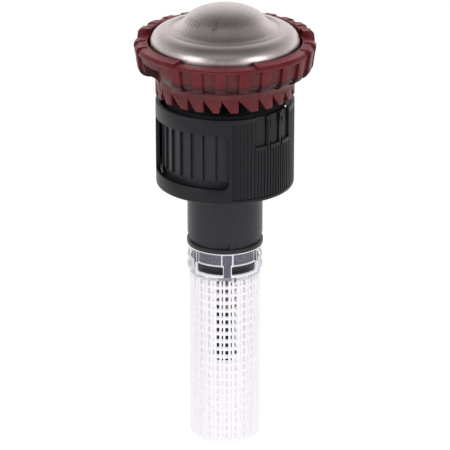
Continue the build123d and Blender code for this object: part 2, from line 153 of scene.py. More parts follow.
def shade(hexCode):
    # linear colour of an sRGB hex code
    parts = [int(hexCode[place:place + 2], 16) / 255 for place in (0, 2, 4)]
    return tuple(p / 12.92 if p <= 0.04045 else ((p + 0.055) / 1.055) ** 2.4 for p in parts) + (1.0,)


# ---- materials

def newMaterial(name):
    material = bpy.data.materials.new(name)
    material.use_nodes = True
    material.node_tree.nodes.clear()
    graph = Graph(material.node_tree)
    place = graph.add("ShaderNodeTexCoord").other("Object")
    return material, graph, place


def closeMaterial(graph, sockets):
    surface = graph.add("ShaderNodeBsdfPrincipled", None, sockets)
    graph.add("ShaderNodeOutputMaterial", None, {"Surface": surface})


def polar(graph, place):
    # azimuth in degrees, radius and height in millimetres of the shaded point
    parts = graph.add("ShaderNodeSeparateXYZ", None, {"Vector": place})
    x = parts / mm
    y = parts.other("Y") / mm
    azimuth = x.maths("ARCTAN2", x, 0.0 - y) * degrees(1)
    radius = (x * x + y * y).power(0.5)
    return azimuth, radius, parts.other("Z") / mm


steelLook = {"dark": "c8bcbd", "light": "e0d4d3", "speck": "5f5a5c", "rough": 0.4, "stain": "8a7c58",
             "stainAzimuth": -15.0, "stainSweep": 5.0, "stainHeight": 28.1, "tick": "3c3836",
             "tickStart": -78.0, "tickPitch": 6.6, "ticks": 6, "tickLow": 27.7, "tickHigh": 28.6}


def capSteel(look):
    material, graph, place = newMaterial("capSteel")
    azimuth, radius, height = polar(graph, place)
    cloud = graph.noise(place, 420.0, 5.0, 0.7)
    grain = graph.noise(place, 2600.0, 3.0, 0.75)
    speck = graph.noise(place, 6500.0, 2.0, 0.8)
    colour = graph.mixed(cloud, shade(look["dark"]), shade(look["light"]))
    dull = (speck - 0.5) * 1.6
    colour = graph.mixed(dull.above(0.12, 0.12) * 0.35, colour, shade(look["speck"]))
    # a small weathered stain and a row of plain stamped ticks on the dome
    aside = (azimuth - look["stainAzimuth"]) / look["stainSweep"]
    stain = 1.0 - aside.power(2.0) - (height - look["stainHeight"]).power(2.0)
    stain = stain.above(0.3, 0.5) * grain.above(0.52, 0.12)
    colour = graph.mixed(stain * 0.8, colour, shade(look["stain"]))
    stroke = (azimuth - look["tickStart"]) / look["tickPitch"]
    stroke = stroke - stroke.maths("FLOOR", stroke) - 0.5
    ticks = 1.0 - stroke.maths("ABSOLUTE", stroke).above(0.16, 0.05)
    tickEnd = look["tickStart"] + look["ticks"] * look["tickPitch"]
    ticks = ticks * band(azimuth, look["tickStart"], tickEnd, 0.4)
    ticks = ticks * band(height, look["tickLow"], look["tickHigh"], 0.06)
    colour = graph.mixed(ticks * 0.55, colour, shade(look["tick"]))
    rough = look["rough"] + (grain - 0.5) * 0.25 + (cloud - 0.5) * 0.12
    normal = graph.bumped(grain, 0.35, 0.00003)
    normal = graph.bumped(speck, 0.3, 0.00001, normal)
    normal = graph.bumped(1.0 - ticks, 0.6, 0.00005, normal)
    closeMaterial(graph, {"Base Color": colour, "Metallic": 1.0, "Roughness": rough, "Normal": normal})
    return material


deflectorLook = {"rib": "641a1f", "panel": "5a2528", "cloud": "8a4a4e", "litTop": "943b43",
                 "shaded": "2a1012", "footRadius": 11.7, "footHeight": 20.7, "rough": 0.4, "gloss": 0.22}


def deflectorPlastic(look):
    material, graph, place = newMaterial("deflectorPlastic")
    azimuth, radius, height = polar(graph, place)
    proud = graph.add("ShaderNodeAttribute", {"attribute_name": "proud"}).other("Fac")
    cloud = graph.noise(place, 260.0, 4.0, 0.6)
    grain = graph.noise(place, 2400.0, 3.0, 0.6)
    colour = graph.mixed(proud, shade(look["panel"]), shade(look["rib"]))
    colour = graph.mixed((cloud - 0.4) * 0.9, colour, shade(look["cloud"]))
    # painted light: paler on faces that point up, where light from above falls; painted shade: darker under
    # the rim
    facing = graph.add("ShaderNodeNewGeometry").other("Normal")
    upward = graph.add("ShaderNodeSeparateXYZ", None, {"Vector": facing}).other("Z").above(0.75, 0.15)
    colour = graph.mixed(upward * (0.7 + 0.4 * cloud), colour, shade(look["litTop"]))
    # painted shade under the ribs: outside the foot radius and below the foot height the colour goes towards
    # the shaded colour
    underside = radius.above(look["footRadius"], 0.1) * (1.0 - height.above(look["footHeight"], 0.3))
    colour = graph.mixed(underside * 0.7, colour, shade(look["shaded"]))
    rough = look["rough"] + (grain - 0.5) * 0.2 + (cloud - 0.5) * 0.1
    normal = graph.bumped(grain, 0.25, 0.00003)
    normal = graph.bumped(cloud, 0.2, 0.0001, normal)
    closeMaterial(graph, {"Base Color": colour, "Roughness": rough, "Normal": normal,
                          "Specular IOR Level": look["gloss"]})
    return material


def mouldedPlastic(name, dark, light, rough, gloss, grainSize=2200.0):
    # satin moulded plastic with faint flow clouds, fine grain and pale scuffs
    material, graph, place = newMaterial(name)
    cloud = graph.noise(place, 180.0, 4.0, 0.6)
    grain = graph.noise(place, grainSize, 3.0, 0.6)
    scuff = graph.noise(place, 900.0, 6.0, 0.75)
    colour = graph.mixed(cloud, shade(dark), shade(light))
    colour = graph.mixed(scuff.above(0.68, 0.06) * 0.2, colour, shade("7b7a80"))
    roughness = rough + (grain - 0.5) * 0.18 + (cloud - 0.5) * 0.12
    normal = graph.bumped(grain, 0.2, 0.00002)
    closeMaterial(graph, {"Base Color": colour, "Roughness": roughness, "Normal": normal,
                          "Specular IOR Level": gloss})
    return material


screenWindows = {"windowStart": 33.6, "windows": 6, "windowSweep": 47.0, "windowTop": -13.15,
                 "windowBottom": -14.78, "panelSweep": 40.0}
screenLook = {"milk": "fbf8fc", "shadow": "eeebf2", "lilac": "b9b7d2", "collarBottom": -15.95, "thin": 0.12,
              "rough": 0.35, "glow": 0.16, "panelHalf": 21.5, "lipLine": -10.95, **screenWindows}


def screenEdgeHighlights(look, azimuth, height):
    # painted highlights: white lines where the clear collar's edges catch the light, under the lip, beside
    # the panels, round the windows
    pitch = 360.0 / look["windows"]
    turn = (azimuth - look["windowStart"] + 360.0 + pitch / 2) / pitch
    away = (turn - turn.maths("FLOOR", turn) - 0.5) * pitch
    away = away.maths("ABSOLUTE", away)
    low, high, lip = look["windowBottom"], look["windowTop"], look["lipLine"]
    lines = band(height, lip - 0.12, lip + 0.3, 0.03)
    beside = band(away, look["panelHalf"] - 0.6, look["panelHalf"] + 0.6, 0.3)
    lines = lines + beside * band(height, high, lip, 0.03)
    around = 1.0 - away.above(look["windowSweep"] / 2 + 0.7, 0.3)
    lines = lines + band(height, low - 0.34, high + 0.08, 0.04) * around
    return lines.maths("MINIMUM", lines, 1.0)


def screenPlastic(look):
    # natural plastic: milky in the mesh, clear and lilac in the smooth collar, with painted highlights as
    # white lines at its edges
    material, graph, place = newMaterial("screenPlastic")
    azimuth, radius, height = polar(graph, place)
    cloud = graph.noise(place, 240.0, 4.0, 0.6)
    grain = graph.noise(place, 1800.0, 3.0, 0.6)
    clear = height.above(look["collarBottom"], 0.05) * (1.0 - screenEdgeHighlights(look, azimuth, height))
    colour = graph.mixed(cloud * 0.5, shade(look["milk"]), shade(look["shadow"]))
    colour = graph.mixed(clear, colour, shade(look["lilac"]))
    alpha = 1.0 - clear * (1.0 - look["thin"] - (cloud - 0.5) * 0.1)
    rough = look["rough"] + (grain - 0.5) * 0.2
    normal = graph.bumped(grain, 0.15, 0.00003)
    # painted light: a faint white emission stands in for light passing through the plastic
    closeMaterial(graph, {"Base Color": colour, "Roughness": rough, "Normal": normal, "Alpha": alpha,
                          "Emission Color": shade("ffffff"), "Emission Strength": look["glow"],
                          "Subsurface Weight": 0.4, "Subsurface Scale": 0.0015,
                          "Subsurface Radius": (1.0, 1.0, 1.0), "Specular IOR Level": 0.4})
    return material


def turnedSteel(name, dark, light, rough, fine):
    # steel with fine turning marks round the axis
    material, graph, place = newMaterial(name)
    azimuth, radius, height = polar(graph, place)
    lines = graph.noise(graph.add("ShaderNodeCombineXYZ", None, {"X": radius * fine, "Y": height * fine}),
                        1.0, 4.0, 0.7)
    cloud = graph.noise(place, 500.0, 4.0, 0.6)
    colour = graph.mixed(lines, shade(dark), shade(light))
    roughness = rough + (lines - 0.5) * 0.2 + (cloud - 0.5) * 0.15
    normal = graph.bumped(lines, 0.3, 0.00001)
    closeMaterial(graph, {"Base Color": colour, "Metallic": 1.0, "Roughness": roughness, "Normal": normal})
    return material


def sealRubber():
    material, graph, place = newMaterial("sealRubber")
    cloud = graph.noise(place, 300.0, 4.0, 0.6)
    grain = graph.noise(place, 3200.0, 4.0, 0.7)
    colour = graph.mixed(cloud, shade("1d1c1e"), shade("2b2a2c"))
    colour = graph.mixed(grain.above(0.66, 0.05) * 0.3, colour, shade("55534f"))
    closeMaterial(graph, {"Base Color": colour, "Roughness": 0.68 + (grain - 0.5) * 0.3,
                          "Normal": graph.bumped(grain, 0.4, 0.00003), "Specular IOR Level": 0.3})
    return material


finishes = {
    "cap_steel": capSteel(steelLook),
    "deflector_plastic": deflectorPlastic(deflectorLook),
    "collar_plastic": mouldedPlastic("collarPlastic", "121115", "19181d", 0.38, 0.25),
    "body_plastic": mouldedPlastic("bodyPlastic", "28272c", "302f34", 0.44, 0.2),
    "neck_plastic": mouldedPlastic("neckPlastic", "232227", "2a292f", 0.36, 0.3),
    "bushing_plastic": mouldedPlastic("bushingPlastic", "2c2b2d", "3a393b", 0.45, 0.4, 1600.0),
    "screen_plastic": screenPlastic(screenLook),
    "shaft_steel": turnedSteel("shaftSteel", "8f8d8a", "b5b3b0", 0.3, 9.0),
    "spring_steel": turnedSteel("springSteel", "6f6a64", "8f8a84", 0.34, 5.0),
    "seal_rubber": sealRubber(),
}
print("materials", len(finishes))


# ---- mesh tools

def newPiece(name, points, faces):
    mesh = bpy.data.meshes.new(name)
    mesh.from_pydata([tuple(Vector(point) * mm) for point in points], [], faces)
    piece = bpy.data.objects.new(name, mesh)
    bpy.context.scene.collection.objects.link(piece)
    return piece


def cleaned(piece):
    # doubles merged, loose bits gone, faces outward
    work = bmesh.new()
    work.from_mesh(piece.data)
    bmesh.ops.remove_doubles(work, verts=work.verts, dist=2e-7)
    bmesh.ops.dissolve_degenerate(work, edges=work.edges, dist=1e-8)
    loose = [edge for edge in work.edges if not edge.link_faces]
    bmesh.ops.delete(work, geom=loose, context="EDGES")
    bmesh.ops.recalc_face_normals(work, faces=work.faces)
    work.to_mesh(piece.data)
    work.free()
    return piece


def frozen(piece):
    # what the modifiers make, as a plain mesh
    graph = bpy.context.evaluated_depsgraph_get()
    graph.update()
    mesh = bpy.data.meshes.new_from_object(piece.evaluated_get(graph))
    piece.modifiers.clear()
    piece.data = mesh
    return piece


def bevelled(piece, width, segments=2, angle=38.0):
    bevel = piece.modifiers.new("bevel", "BEVEL")
    bevel.width = width * mm
    bevel.segments = segments
    bevel.limit_method = "ANGLE"
    bevel.angle_limit = radians(angle)
    bevel.use_clamp_overlap = True
    bevel.miter_outer = "MITER_ARC"
    return frozen(piece)


def joined(name, pieces):
    work = bmesh.new()
    for piece in pieces:
        work.from_mesh(piece.data)
        bpy.data.objects.remove(piece)
    mesh = bpy.data.meshes.new(name)
    work.to_mesh(mesh)
    work.free()
    whole = bpy.data.objects.new(name, mesh)
    bpy.context.scene.collection.objects.link(whole)
    return whole


def marked(piece, name, value):
    # a plain number on every point of the piece, for its material
    layer = piece.data.attributes.new(name, "FLOAT", "POINT")
    for item in layer.data:
        item.value = value
    return piece


def wound(name, azimuths, outlineAt):
    # closed skin through one closed outline for each azimuth
    outlines = [outlineAt(azimuth) for azimuth in azimuths]
    count = len(outlines[0])
    assert all(len(outline) == count for outline in outlines)
    points = [spot(radius, azimuth, height) for azimuth, outline in zip(azimuths, outlines)
              for radius, height in outline]
    faces = []
    for turn in range(len(azimuths)):
        here = turn * count
        there = (turn + 1) % len(azimuths) * count
        for step in range(count):
            ahead = (step + 1) % count
            faces.append((here + step, here + ahead, there + ahead, there + step))
    return cleaned(newPiece(name, points, faces))


def lofted(name, sections):
    # skin through equal sections of points, with flat ends
    count = len(sections[0])
    points = [point for section in sections for point in section]
    faces = []
    for row in range(len(sections) - 1):
        for step in range(count):
            ahead = (step + 1) % count
            faces.append((row * count + step, row * count + ahead,
                          (row + 1) * count + ahead, (row + 1) * count + step))
    last = (len(sections) - 1) * count
    faces.append(tuple(range(count)))
    faces.append(tuple(range(last, last + count)))
    return cleaned(newPiece(name, points, faces))


def swept(name, profile, middle, sweep, steps=12):
    # block with this outline of (radius, height), swept part of the way round the axis
    azimuths = [middle + sweep * (step / steps - 0.5) for step in range(steps + 1)]
    return lofted(name, [[spot(radius, azimuth, height) for radius, height in profile]
                         for azimuth in azimuths])


def softened(outline, size, steps=3):
    # outline with every corner rounded by up to that size
    smooth = []
    count = len(outline)
    for index, corner in enumerate(outline):
        corner = Vector(corner)
        before = Vector(outline[index - 1]) - corner
        after = Vector(outline[(index + 1) % count]) - corner
        cut = min(size, 0.4 * before.length, 0.4 * after.length)
        start = corner + before.normalized() * cut
        end = corner + after.normalized() * cut
        for step in range(steps + 1):
            part = step / steps
            point = start * (1 - part) ** 2 + corner * 2 * part * (1 - part) + end * part ** 2
            smooth.append((point.x, point.y))
    return smooth


def curve(start, pull, hold, end, steps):
    # points of a smooth curve through its two ends
    points = []
    for step in range(steps + 1):
        part = step / steps
        rest = 1 - part
        point = (Vector(start) * rest ** 3 + Vector(pull) * 3 * rest ** 2 * part
                 + Vector(hold) * 3 * rest * part ** 2 + Vector(end) * part ** 3)
        points.append((point.x, point.y))
    return points


def roundSteps(step):
    return [index * step - 180.0 for index in range(round(360 / step))]


def roundStepsWith(edges, step, clear, gap):
    # even azimuths, but a close pair of them at each edge
    azimuths = roundSteps(step)
    for edge in edges:
        azimuths = [azimuth for azimuth in azimuths if abs(azimuth - edge) > clear]
        azimuths += [edge - gap, edge + gap]
    return sorted(azimuths)


# ---- geometry nodes

def newTree(name, inputs):
    # tree with the piece's geometry in and out, and these inputs
    tree = bpy.data.node_groups.new(name, "GeometryNodeTree")
    tree.interface.new_socket(name="Geometry", in_out="OUTPUT", socket_type="NodeSocketGeometry")
    for label, kind in {"Geometry": "Geometry", **inputs, "Finish": "Material"}.items():
        tree.interface.new_socket(name=label, in_out="INPUT", socket_type="NodeSocket" + kind)
    graph = Graph(tree)
    return graph, graph.add("NodeGroupInput")


def closeTree(graph, geometry, finish):
    real = graph.add("GeometryNodeRealizeInstances", None, {"Geometry": geometry})
    done = graph.add("GeometryNodeSetMaterial", None, {"Geometry": real, "Material": finish})
    graph.add("NodeGroupOutput", None, {"Geometry": done})
    return graph.tree


def roundTree():
    # repeats the piece's own mesh round the axis
    graph, given = newTree("repeatRound", {"Count": "Int", "Start": "Float", "Step": "Float"})
    index = graph.add("GeometryNodeInputIndex")
    turn = (given.other("Start") + index * given.other("Step")) * radians(1)
    spots = graph.add("GeometryNodePoints", None, {"Count": given.other("Count")})
    placed = graph.add("GeometryNodeInstanceOnPoints", None, {
        "Points": spots, "Instance": given,
        "Rotation": graph.add("ShaderNodeCombineXYZ", None, {"Z": turn})})
    return closeTree(graph, placed, given.other("Finish"))


def applied(piece, tree, values):
    # runs a tree on a piece, its inputs set by identifier before it is first evaluated
    modifier = piece.modifiers.new(tree.name, "NODES")
    modifier.node_group = tree
    sockets = {item.name: item.identifier for item in tree.interface.items_tree
               if item.in_out == "INPUT"}
    for name, value in values.items():
        modifier[sockets[name]] = value
    return frozen(piece)


repeatTree = roundTree()


def repeated(piece, count, start, step, finish):
    return applied(piece, repeatTree, {"Count": count, "Start": float(start), "Step": float(step),
                                       "Finish": finishes[finish]})


def finished(piece, body, slot, nodes, angle=32.0):
    mesh = piece.data
    mesh.materials.clear()
    mesh.materials.append(finishes[slot])
    for face in mesh.polygons:
        face.use_smooth = True
        face.material_index = 0
    mesh.set_sharp_from_angle(angle=radians(angle))
    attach(piece, body)
    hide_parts(*nodes)
    print("made", piece.name, len(mesh.polygons))
    return piece


# ---- cap

capPlan = {
    "radius": widest("cap"), "top": highest("cap"), "bottom": lowest("cap"), "wall": 0.4,
    "domeShare": 0.592, "domeHeight": 3.75, "domePower": 2.1, "domeTurn": 65.0, "beadShare": 0.748,
    "beadHeight": 0.07, "beadWidth": 0.14, "beadGap": 0.4, "shoulderDrop": 1.5, "lipRound": 0.12,
}


def capOutline(plan, shrink, beads):
    foot = plan["top"] - plan["domeHeight"]
    dome = plan["domeShare"] * plan["radius"]
    bead = plan["beadShare"] * plan["radius"]
    side = plan["radius"]
    outline = []
    for step in range(25):
        turn = radians(plan["domeTurn"]) * step / 24
        power = 2 / plan["domePower"]
        outline.append((dome * sin(turn) ** power, foot + plan["domeHeight"] * cos(turn) ** power))
    # the dome flares out into the valley, then come two fine beads and the full brim
    valley = bead - plan["beadGap"] / 2 - plan["beadWidth"] * 1.2
    lowDome = Vector(outline[-1])
    outline += curve(lowDome, lowDome + Vector((0.42, -0.47)), (valley - 0.85, foot + 0.02),
                     (valley, foot - 0.03), 12)[1:]
    if beads:
        for middle in (bead - plan["beadGap"] / 2, bead + plan["beadGap"] / 2):
            for step in range(7):
                turn = pi * step / 6
                rise = plan["beadHeight"] * sin(turn)
                outline.append((middle - plan["beadWidth"] * cos(turn), foot - 0.05 + rise))
    outline += curve((bead + plan["beadGap"] / 2 + plan["beadWidth"] + 0.04, foot - 0.07),
                     (side - 1.3, foot - 0.1), (side - 0.05, foot - 0.85),
                     (side, foot - plan["shoulderDrop"] - 0.85), 18)
    if shrink == 0:
        return outline
    inside = []
    for index, point in enumerate(outline):
        ahead = Vector(outline[min(index + 1, len(outline) - 1)])
        behind = Vector(outline[max(index - 1, 0)])
        run = (ahead - behind).normalized()
        inside.append((max(0.0, point[0] + run.y * shrink), point[1] - run.x * shrink))
    inside[0] = (0.0, plan["top"] - shrink)
    return inside


def makeCap(plan):
    outside = capOutline(plan, 0, True)
    inside = capOutline(plan, plan["wall"], False)
    inner = plan["radius"] - plan["wall"]
    above = plan["bottom"] + 0.5
    lip = softened([(inner, above), (plan["radius"], above), (plan["radius"], plan["bottom"]),
                    (inner, plan["bottom"])], plan["lipRound"])
    # only the two lower corners of that outline are the lip
    outline = outside + lip[len(lip) // 2:] + list(reversed(inside))
    cap = wound("cap_dome", roundSteps(1.5), lambda azimuth: outline)
    return finished(cap, "rotor", "cap_steel", ["cap"], 50.0)


# ---- deflector

deflectorPlan = {
    "radius": widest("deflector"), "top": highest("deflector"), "bottom": lowest("deflector"),
    "mouth": 12.6, "lowStep": 0.45, "lowStart": -34.0, "lowEnd": 21.0, "highStep": 0.9,
    "backStart": 105.3, "edgeDrop": 0.8, "footRadius": widest("radius_ring"),
    "toothHeight": 2.1, "ribCount": 24, "ribSweep": 6.6, "ribStart": 0.4, "panelDepth": 0.5,
    "cutStart": -68.0, "cutEnd": -48.0, "bandBottom": 21.9, "smoothEnd": -37.0, "rimWall": 1.2,
    "ribBevel": 0.12, "lobeStart": 66.0, "front": 4.0,
    "bore": 2.25, "hub": 3.3, "hubBottom": 15.9, "hubTop": 20.8, "dish": 10.2, "dishBottom": 17.2,
    "skirtBottom": 17.6, "capSeat": 22.25, "spigotIn": 10.9, "spigotOut": 11.7, "spigotTop": 23.57,
    "troughFloor": 19.0, "ringIn": 8.05, "ringOut": 8.9, "ringTop": 23.2, "plateSeat": 21.8,
    "chamber": 7.0, "chamberFloor": 18.2,
}


def topAt(plan, azimuth):
    # the rim is lower at the front and higher round the back
    if plan["lowStart"] <= azimuth <= plan["lowEnd"]:
        return plan["top"] - plan["lowStep"]
    if abs(azimuth) > plan["backStart"]:
        return plan["top"] + plan["highStep"]
    return plan["top"]


def deflectorOutlineAt(plan, azimuth):
    top = topAt(plan, azimuth)
    side = plan["radius"]
    foot = plan["footRadius"]
    edge = plan["top"] - plan["edgeDrop"] - 0.1
    bore, hub, skirt, hubBottom = plan["bore"], plan["hub"], plan["skirtBottom"], plan["hubBottom"]
    under = [(bore, hubBottom), (hub, hubBottom), (hub, hubBottom + 0.3),
             (plan["dish"], plan["dishBottom"]), (plan["dish"], skirt), (foot - 0.02, skirt)]
    if plan["cutStart"] < azimuth < plan["cutEnd"]:
        # thin overhanging band, open below it
        low = curve((foot, skirt + 0.1), (foot + 0.02, 18.4), (foot + 0.05, 19.4), (foot + 0.1, 20.2), 12)
        brim = plan["bandBottom"]
        low += [(foot + 0.15, brim - 0.3), (foot + 0.5, brim), (side - 0.75, brim), (side - 0.62, brim + 0.1)]
        upper = [(side - 0.55, edge - 0.35)]
    elif plan["cutEnd"] <= azimuth < plan["smoothEnd"]:
        low = curve((foot, skirt + 0.1), (foot + 0.1, 18.6), (foot + 1.2, 19.4), (side - 1.2, 20.6), 12)
        low += [(side - 1.0, 21.0), (side - 0.85, 21.4), (side - 0.75, 21.8), (side - 0.7, 22.1)]
        upper = [(side - 0.6, edge - 0.4)]
    else:
        panel = side - plan["panelDepth"]
        low = curve((foot, skirt + 0.1), (foot + 0.1, 18.7), (foot + 0.5, 18.9), (foot + 1.0, 19.25), 8)
        low += curve((foot + 1.3, 19.45), (foot + 2.1, 19.8), (panel - 0.5, 20.1),
                     (panel - 0.36, 20.9), 8)[:-1]
        upper = [(panel - 0.12, edge - 0.42)]
    lobed = abs(azimuth + plan["front"]) > plan["lobeStart"]
    back = plan["panelDepth"] * 0.9 if lobed else 0.0
    mouth, seat, trough, plate = plan["mouth"], plan["capSeat"], plan["troughFloor"], plan["plateSeat"]
    rim = [(side - 0.08 - back, edge - 0.05), (side - back, edge + 0.12),
           (side - 0.02 - back, edge + 0.28), (side - 0.12 - back, top - 0.52),
           (side - 0.26 - back, top - 0.26), (side - 0.42 - back, top - 0.12),
           (mouth + 0.12, top), (mouth + 0.03, top - 0.04), (mouth, top - 0.12)]
    spigotIn, spigotOut, spigotTop = plan["spigotIn"], plan["spigotOut"], plan["spigotTop"]
    ringIn, ringOut, ringTop = plan["ringIn"], plan["ringOut"], plan["ringTop"]
    chamber, floor = plan["chamber"], plan["chamberFloor"]
    inside = [(mouth, seat), (spigotOut, seat), (spigotOut, spigotTop - 0.07),
              (spigotOut - 0.07, spigotTop), (spigotIn + 0.07, spigotTop), (spigotIn, spigotTop - 0.07),
              (spigotIn, trough), (ringOut, trough), (ringOut, ringTop), (ringIn, ringTop), (ringIn, plate),
              (chamber, plate), (chamber, floor), (hub, floor), (hub, plan["hubTop"]), (bore, plan["hubTop"])]
    return under + low + upper + rim + inside


def deflectorAzimuths(plan):
    edges = [plan[name] for name in ("lowStart", "lowEnd", "backStart", "cutStart", "cutEnd", "smoothEnd")]
    edges += [-plan["backStart"], -plan["front"] - plan["lobeStart"], plan["lobeStart"] - plan["front"]]
    return roundStepsWith(edges, 2.0, 0.7, 0.12)


def makeRib(plan, top=None):
    # one rib, its right edge at azimuth 0, embedded in the panel behind it
    side = plan["radius"]
    foot = plan["footRadius"]
    edge = plan["top"] - plan["edgeDrop"] - 0.1
    outline = curve((foot + 1.1, 19.0), (foot + 2.0, 19.15), (side - 0.55, 19.45), (side - 0.42, 20.6), 9)
    outline += [(side - 0.3, 21.6), (side - 0.12, edge - 0.4), (side - 0.03, edge)]
    if top is not None:
        outline += [(side, edge + 0.3), (side - 0.14, top - 0.42), (side - 0.4, top - 0.08),
                    (side - 0.95, top + 0.07), (side - 1.6, top + 0.05)]
    sections = []
    for radius, height in outline:
        inner = min(radius - 0.3, side - 1.5)
        if top is not None and height > edge:
            inner = side - 2.0
        left = -plan["ribSweep"]
        sections.append([spot(inner, left, height + 0.02), spot(radius, left, height),
                         spot(radius, 0.0, height), spot(inner, 0.0, height + 0.02)])
    rib = bevelled(lofted("rib", sections), plan["ribBevel"])
    return marked(rib, "proud", 1.0)


toothPlan = {"groups": 6, "start": -3.0, "offsets": (0.0, 14.0, 31.0, 45.0), "sweep": 6.5,
             "nick": 1.76, "gap": 0.4, "bevel": 0.1}


def makeTeeth(plan, teeth):
    # one group of four teeth of the lower rim: upright on the right, slanted on the left
    group = 360 / teeth["groups"]
    bottom = plan["bottom"]
    root = bottom + plan["toothHeight"]
    nickRoot = bottom + plan["toothHeight"] / 2
    columns = []
    for number, offset in enumerate(teeth["offsets"]):
        before = teeth["offsets"][number - 1] - (group if number == 0 else 0)
        left = before + teeth["gap"]
        columns += [(before + 0.02, root), (left, root - 0.1)]
        slant = offset - teeth["sweep"] - left
        columns.append((left + slant / 2, (root - 0.1 + bottom) / 2))
        columns.append((offset - teeth["sweep"], bottom))
        if number == 0:
            nick = offset - teeth["nick"]
            columns += [(nick, bottom), (nick + 0.05, nickRoot), (offset - 0.05, nickRoot)]
        else:
            columns += [(offset - teeth["sweep"] / 2, bottom), (offset - 0.05, bottom)]
        columns.append((offset, root))
    outer = plan["footRadius"]
    inner = outer - plan["rimWall"]
    sections = []
    for azimuth, height in columns:
        place = azimuth + teeth["start"]
        sections.append([spot(outer, place, root + 0.12), spot(outer, place, height),
                         spot(inner, place, height), spot(inner, place, root + 0.12)])
    rim = bevelled(lofted("teeth", sections), teeth["bevel"], 2, 50.0)
    marked(rim, "proud", 0.7)
    return repeated(rim, teeth["groups"], 0, group, "deflector_plastic")


vanePlan = {"inner": 3.6, "lift": 0.15, "lean": 14.0, "leanPower": 1.5, "halfSweep": 2.1, "steps": 8,
            "bevel": 0.06}


def makeVanes(plan, teeth, vanes):
    # thin curved walls under the deflector that guide the streams
    outer = plan["footRadius"] - plan["rimWall"] / 2
    inner = vanes["inner"]
    half = vanes["halfSweep"]
    low = plan["bottom"] + vanes["lift"]
    high = plan["bottom"] + plan["toothHeight"] + 0.02
    made = []
    for offset in teeth["offsets"]:
        sections = []
        for step in range(vanes["steps"] + 1):
            radius = inner + (outer - inner) * step / vanes["steps"]
            middle = (teeth["start"] + offset - teeth["sweep"] / 2
                      - vanes["lean"] * (1 - radius / outer) ** vanes["leanPower"])
            sections.append([spot(radius, middle + side * half, height)
                             for side, height in ((-1, low), (1, low), (1, high), (-1, high))])
        made.append(bevelled(lofted("vane", sections), vanes["bevel"], 1))
    group = marked(joined("vanes", made), "proud", 0.4)
    return repeated(group, teeth["groups"], 0, 360 / teeth["groups"], "deflector_plastic")


def makeDeflector(plan, teeth, vanes):
    body = wound("body", deflectorAzimuths(plan), lambda azimuth: deflectorOutlineAt(plan, azimuth))
    marked(body, "proud", 0.0)
    rim = (plan["top"] - plan["edgeDrop"] - 0.2) * mm
    for vert, item in zip(body.data.vertices, body.data.attributes["proud"].data):
        item.value = 1.0 if vert.co.z > rim else 0.0
    step = 360 / plan["ribCount"]
    start = plan["ribStart"]

    def ribs(count, first, top=None):
        return repeated(makeRib(plan, top), count, start + first * step, step, "deflector_plastic")

    # plain ribs at the front, then ribs that run up over the rim, higher at the back
    whole = joined("deflector_shell", [
        body, ribs(7, -2), ribs(2, 5, plan["top"]), ribs(2, -6, plan["top"]),
        ribs(11, 7, plan["top"] + plan["highStep"]), makeTeeth(plan, teeth),
        makeVanes(plan, teeth, vanes)])
    return finished(whole, "rotor", "deflector_plastic", ["deflector"], 34.0)


# ---- adjusting collar

collarPlan = {
    "radius": widest("radius_ring"), "top": highest("radius_ring"), "bottom": lowest("radius_ring"),
    "wall": 0.65, "lipRise": 0.8, "rimRise": 0.1, "footRound": 0.35, "footDrop": 0.2,
    "windowBottom": 2.4, "windowTop": 11.6, "windowStart": -88.0,
    "windowEnd": 3.0, "windowRound": 0.9, "windowBevel": 0.1, "pocketBottom": 9.3, "pocketDepth": 0.42,
    "pockets": (25.9, 40.4, 54.6), "pocketSweep": 10.6, "knurlStart": 6.0, "knurlSweep": 84.0,
    "knurlCount": 27, "knurlDepth": 0.16, "knurlWidth": 0.24, "knurlMargin": 0.7, "knurlSpare": 1.2,
}


def inPocket(plan, azimuth, spare=0.0):
    local = (azimuth + 180.0) % 180.0
    return any(start - spare < local < start + plan["pocketSweep"] + spare for start in plan["pockets"])


def inKnurl(plan, azimuth):
    local = (azimuth + 180.0) % 180.0
    return plan["knurlStart"] < local < plan["knurlStart"] + plan["knurlSweep"]


def collarAzimuths(plan):
    edges = []
    for turn in (-180.0, 0.0):
        edges += [plan["knurlStart"] + turn, plan["knurlStart"] + plan["knurlSweep"] + turn]
        for start in plan["pockets"]:
            edges += [start + turn, start + plan["pocketSweep"] + turn]
    return roundStepsWith(edges, 1.5, 0.5, 0.03)


def collarOutlineAt(plan, azimuth):
    # the knurled zone is cut back to the grooves' floor; its ridges are laid on afterwards
    shoulder = plan["top"] - plan["lipRise"]
    radius = plan["radius"]
    margin = plan["knurlMargin"]
    sill = plan["pocketBottom"]
    zone = radius - plan["knurlDepth"] if inKnurl(plan, azimuth) else radius
    pocket = inPocket(plan, azimuth)
    crown = radius - plan["pocketDepth"] if pocket else radius
    inner = radius - plan["wall"]
    knurlTop = (sill if pocket else shoulder) - margin
    low = plan["bottom"] - plan["footDrop"]
    outline = []
    size = plan["footRound"]
    for step in range(5):
        turn = radians(90) * step / 4
        outline.append((radius - size * (1 - sin(turn)), low + size * (1 - cos(turn))))
    outline += [(radius, low + margin - 0.05), (zone, low + margin + 0.05)]
    if pocket:
        outline += [(zone, knurlTop - 0.05), (radius, knurlTop + 0.05), (radius, sill - 0.08),
                    (radius - 0.08, sill), (crown + 0.04, sill), (crown, sill + 0.06)]
    else:
        outline += [(zone, sill + rise) for rise in (-1.0, 0.0, 0.5, 1.0)]
        outline += [(zone, knurlTop - 0.05), (radius, knurlTop + 0.05)]
    rim = shoulder + plan["rimRise"]
    outline += [(crown, shoulder - 0.12), (crown - 0.03, shoulder + 0.05), (crown - 0.12, rim - 0.06),
                (crown - 0.2, rim), (inner + 0.06, rim), (inner, rim - 0.06), (inner, rim - 0.4),
                (inner, rim - 1.0), (inner, low + 0.06), (inner + 0.06, low)]
    return outline


